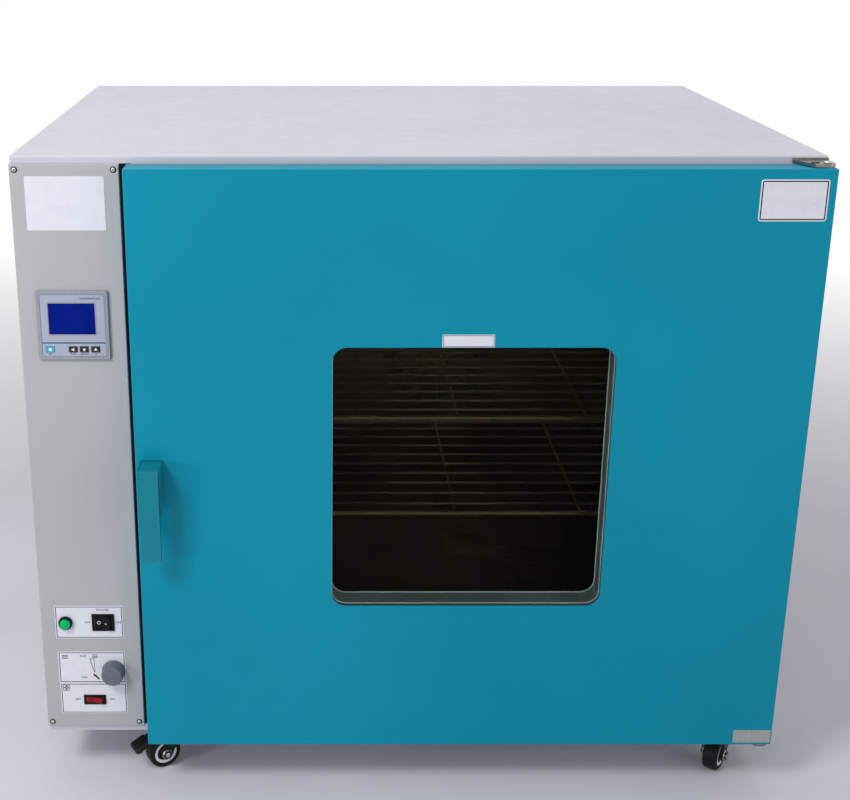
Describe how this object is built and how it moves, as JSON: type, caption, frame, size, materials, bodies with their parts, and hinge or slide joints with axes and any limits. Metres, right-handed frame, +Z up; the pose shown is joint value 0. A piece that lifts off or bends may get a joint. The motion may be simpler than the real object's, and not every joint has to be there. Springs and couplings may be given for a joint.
{
  "type": "forced-air drying oven",
  "caption": "Large forced-air drying oven on casters: steel cabinet, left control bay, glazed door hinged on the right with a lever handle, wire shelves and rear fan.",
  "frame": {"origin": "on the floor under the middle of the whole oven", "axes": "+Z up, the front with its door faces -Y, +X to the right seen from the front"},
  "size_m": [1.055, 0.8544, 0.931],
  "materials": {
    "cover_paint": "satin powder coat, pale grey",
    "panel_paint": "fine satin powder coat, grey",
    "door_paint": "satin powder coat, teal",
    "handle_paint": "gloss enamel, teal",
    "stainless": "brushed stainless",
    "zinc": "bright zinc plate",
    "wool": "mineral wool",
    "glass": "tinted toughened glass",
    "silicone": "matt silicone",
    "bronze": "sintered bronze",
    "bezel_grey": "fine moulded grey",
    "display": "backlit blue display",
    "key_black": "gloss black",
    "key_teal": "gloss teal",
    "lamp_black": "moulded black",
    "lamp_green": "clear green",
    "switch_black": "moulded black",
    "switch_red": "clear red",
    "knob_grey": "moulded grey",
    "heater_sheath": "heat-darkened steel",
    "motor_cast": "cast",
    "fan_metal": "plain",
    "gland_plastic": "moulded black",
    "caster_steel": "black enamel",
    "label_film": "printed film",
    "print_ink": "screen print",
    "wheel_ring": "moulded pale grey",
    "wheel_black": "hard black tread"
  },
  "bodies": {
    "cabinet": {"top_cover": "cover_paint", "base_pan": "cover_paint", "left_side_panel": "cover_paint", "right_side_panel": "cover_paint", "rear_cover": "cover_paint", "front_frame": "cover_paint", "inner_chamber": "stainless", "insulation": "wool", "bay_partition": "zinc", "control_panel": "panel_paint", "panel_screws": "zinc", "controller_housing": "bezel_grey", "controller_screen": "display", "lamp_bezel": "lamp_black", "lamp_lens": "lamp_green", "switch_housings": "switch_black", "speed_regulator": "switch_black", "hinge_plates": "zinc", "door_striker": "zinc", "shelf_rails": "stainless", "air_baffle": "stainless", "fan_motor": "motor_cast", "heating_element": "heater_sheath", "temperature_probe": "stainless", "exhaust_spigot": "stainless", "cable_gland": "gland_plastic", "caster_mounts": "caster_steel"},
    "door": {"door_outer_shell": "door_paint", "door_inner_panel": "stainless", "door_insulation": "wool", "door_outer_glass": "glass", "door_inner_glass": "glass", "door_window_frame": "stainless", "door_seal": "silicone", "door_bushes": "bronze", "handle_base": "handle_paint", "handle_pin": "zinc"},
    "handle": {"handle_lever": "handle_paint", "latch_claw": "zinc"},
    "speed_knob": {"speed_knob": "knob_grey"},
    "power_rocker": {"power_rocker": "switch_black"},
    "fan_rocker": {"fan_rocker": "switch_red"},
    "key_menu": {"key_menu": "key_teal"},
    "key_left": {"key_left": "key_black"},
    "key_down": {"key_down": "key_black"},
    "key_up": {"key_up": "key_black"},
    "lower_shelf": {"lower_shelf": "stainless"},
    "upper_shelf": {"upper_shelf": "stainless"},
    "fan_impeller": {"fan_impeller": "fan_metal"},
    "front_left_swivel": {"front_left_fork": "caster_steel"},
    "front_left_wheel": {"front_left_wheel": "wheel_black"},
    "front_left_pedal": {"front_left_pedal": "caster_steel"},
    "front_right_swivel": {"front_right_fork": "caster_steel"},
    "front_right_wheel": {"front_right_wheel": "wheel_black"},
    "rear_left_swivel": {"rear_left_fork": "caster_steel"},
    "rear_left_wheel": {"rear_left_wheel": "wheel_black"},
    "rear_right_swivel": {"rear_right_fork": "caster_steel"},
    "rear_right_wheel": {"rear_right_wheel": "wheel_black"},
    "rear_right_pedal": {"rear_right_pedal": "caster_steel"}
  },
  "joints": [
    {"name": "door_hinge", "type": "hinge", "parent": "cabinet", "child": "door", "pos_m": [0.5177, -0.3707, 0.50025], "axis": [0, 0, 1], "range_deg": [0, 120]},
    {"name": "handle_pivot", "type": "hinge", "parent": "door", "child": "handle", "pos_m": [-0.3546, -0.4012, 0.5167], "axis": [-1, 0, 0], "range_deg": [0, 18], "stiffness_Nm_per_rad": 1},
    {"name": "knob_turn", "type": "hinge", "parent": "cabinet", "child": "speed_knob", "pos_m": [-0.4266, -0.3526, 0.1812], "axis": [0, 1, 0], "range_deg": [-135, 135]},
    {"name": "power_rocker_tilt", "type": "hinge", "parent": "cabinet", "child": "power_rocker", "pos_m": [-0.4382, -0.3506, 0.2599], "axis": [0, 0, 1], "range_deg": [0, 22]},
    {"name": "fan_rocker_tilt", "type": "hinge", "parent": "cabinet", "child": "fan_rocker", "pos_m": [-0.4562, -0.3506, 0.1331], "axis": [0, 0, 1], "range_deg": [0, 22]},
    {"name": "key_menu_press", "type": "slide", "parent": "cabinet", "child": "key_menu", "axis": [0, 1, 0], "range_m": [0, 0.0008], "stiffness_N_per_m": 400},
    {"name": "key_left_press", "type": "slide", "parent": "cabinet", "child": "key_left", "axis": [0, 1, 0], "range_m": [0, 0.0008], "stiffness_N_per_m": 400},
    {"name": "key_down_press", "type": "slide", "parent": "cabinet", "child": "key_down", "axis": [0, 1, 0], "range_m": [0, 0.0008], "stiffness_N_per_m": 400},
    {"name": "key_up_press", "type": "slide", "parent": "cabinet", "child": "key_up", "axis": [0, 1, 0], "range_m": [0, 0.0008], "stiffness_N_per_m": 400},
    {"name": "lower_shelf_slide", "type": "slide", "parent": "cabinet", "child": "lower_shelf", "axis": [0, -1, 0], "range_m": [0, 0.078]},
    {"name": "upper_shelf_slide", "type": "slide", "parent": "cabinet", "child": "upper_shelf", "axis": [0, -1, 0], "range_m": [0, 0.078]},
    {"name": "fan_spin", "type": "hinge", "parent": "cabinet", "child": "fan_impeller", "pos_m": [0.073, 0.198, 0.5035], "axis": [0, 1, 0], "continuous": true},
    {"name": "front_left_swivel_turn", "type": "hinge", "parent": "cabinet", "child": "front_left_swivel", "pos_m": [-0.3435, -0.3058, 0.06], "axis": [0, 0, 1], "continuous": true},
    {"name": "front_left_wheel_roll", "type": "hinge", "parent": "front_left_swivel", "child": "front_left_wheel", "pos_m": [-0.36429, -0.3178, 0.025], "axis": [0.5, -0.866, 0], "continuous": true},
    {"name": "front_left_pedal_press", "type": "hinge", "parent": "front_left_swivel", "child": "front_left_pedal", "pos_m": [-0.35303, -0.3113, 0.0532], "axis": [0.5, -0.866, 0], "range_deg": [0, 11]},
    {"name": "front_right_swivel_turn", "type": "hinge", "parent": "cabinet", "child": "front_right_swivel", "pos_m": [0.4815, -0.3058, 0.06], "axis": [0, 0, 1], "continuous": true},
    {"name": "front_right_wheel_roll", "type": "hinge", "parent": "front_right_swivel", "child": "front_right_wheel", "pos_m": [0.46773, -0.32546, 0.025], "axis": [0.8192, -0.5736, 0], "continuous": true},
    {"name": "rear_left_swivel_turn", "type": "hinge", "parent": "cabinet", "child": "rear_left_swivel", "pos_m": [-0.3435, 0.3462, 0.06], "axis": [0, 0, 1], "continuous": true},
    {"name": "rear_left_wheel_roll", "type": "hinge", "parent": "rear_left_swivel", "child": "rear_left_wheel", "pos_m": [-0.36605, 0.35441, 0.025], "axis": [-0.342, -0.9397, 0], "continuous": true},
    {"name": "rear_right_swivel_turn", "type": "hinge", "parent": "cabinet", "child": "rear_right_swivel", "pos_m": [0.4815, 0.3462, 0.06], "axis": [0, 0, 1], "continuous": true},
    {"name": "rear_right_wheel_roll", "type": "hinge", "parent": "rear_right_swivel", "child": "rear_right_wheel", "pos_m": [0.45895, 0.33799, 0.025], "axis": [0.342, -0.9397, 0], "continuous": true},
    {"name": "rear_right_pedal_press", "type": "hinge", "parent": "rear_right_swivel", "child": "rear_right_pedal", "pos_m": [0.47116, 0.34244, 0.0532], "axis": [0.342, -0.9397, 0], "range_deg": [0, 11]}
  ]
}
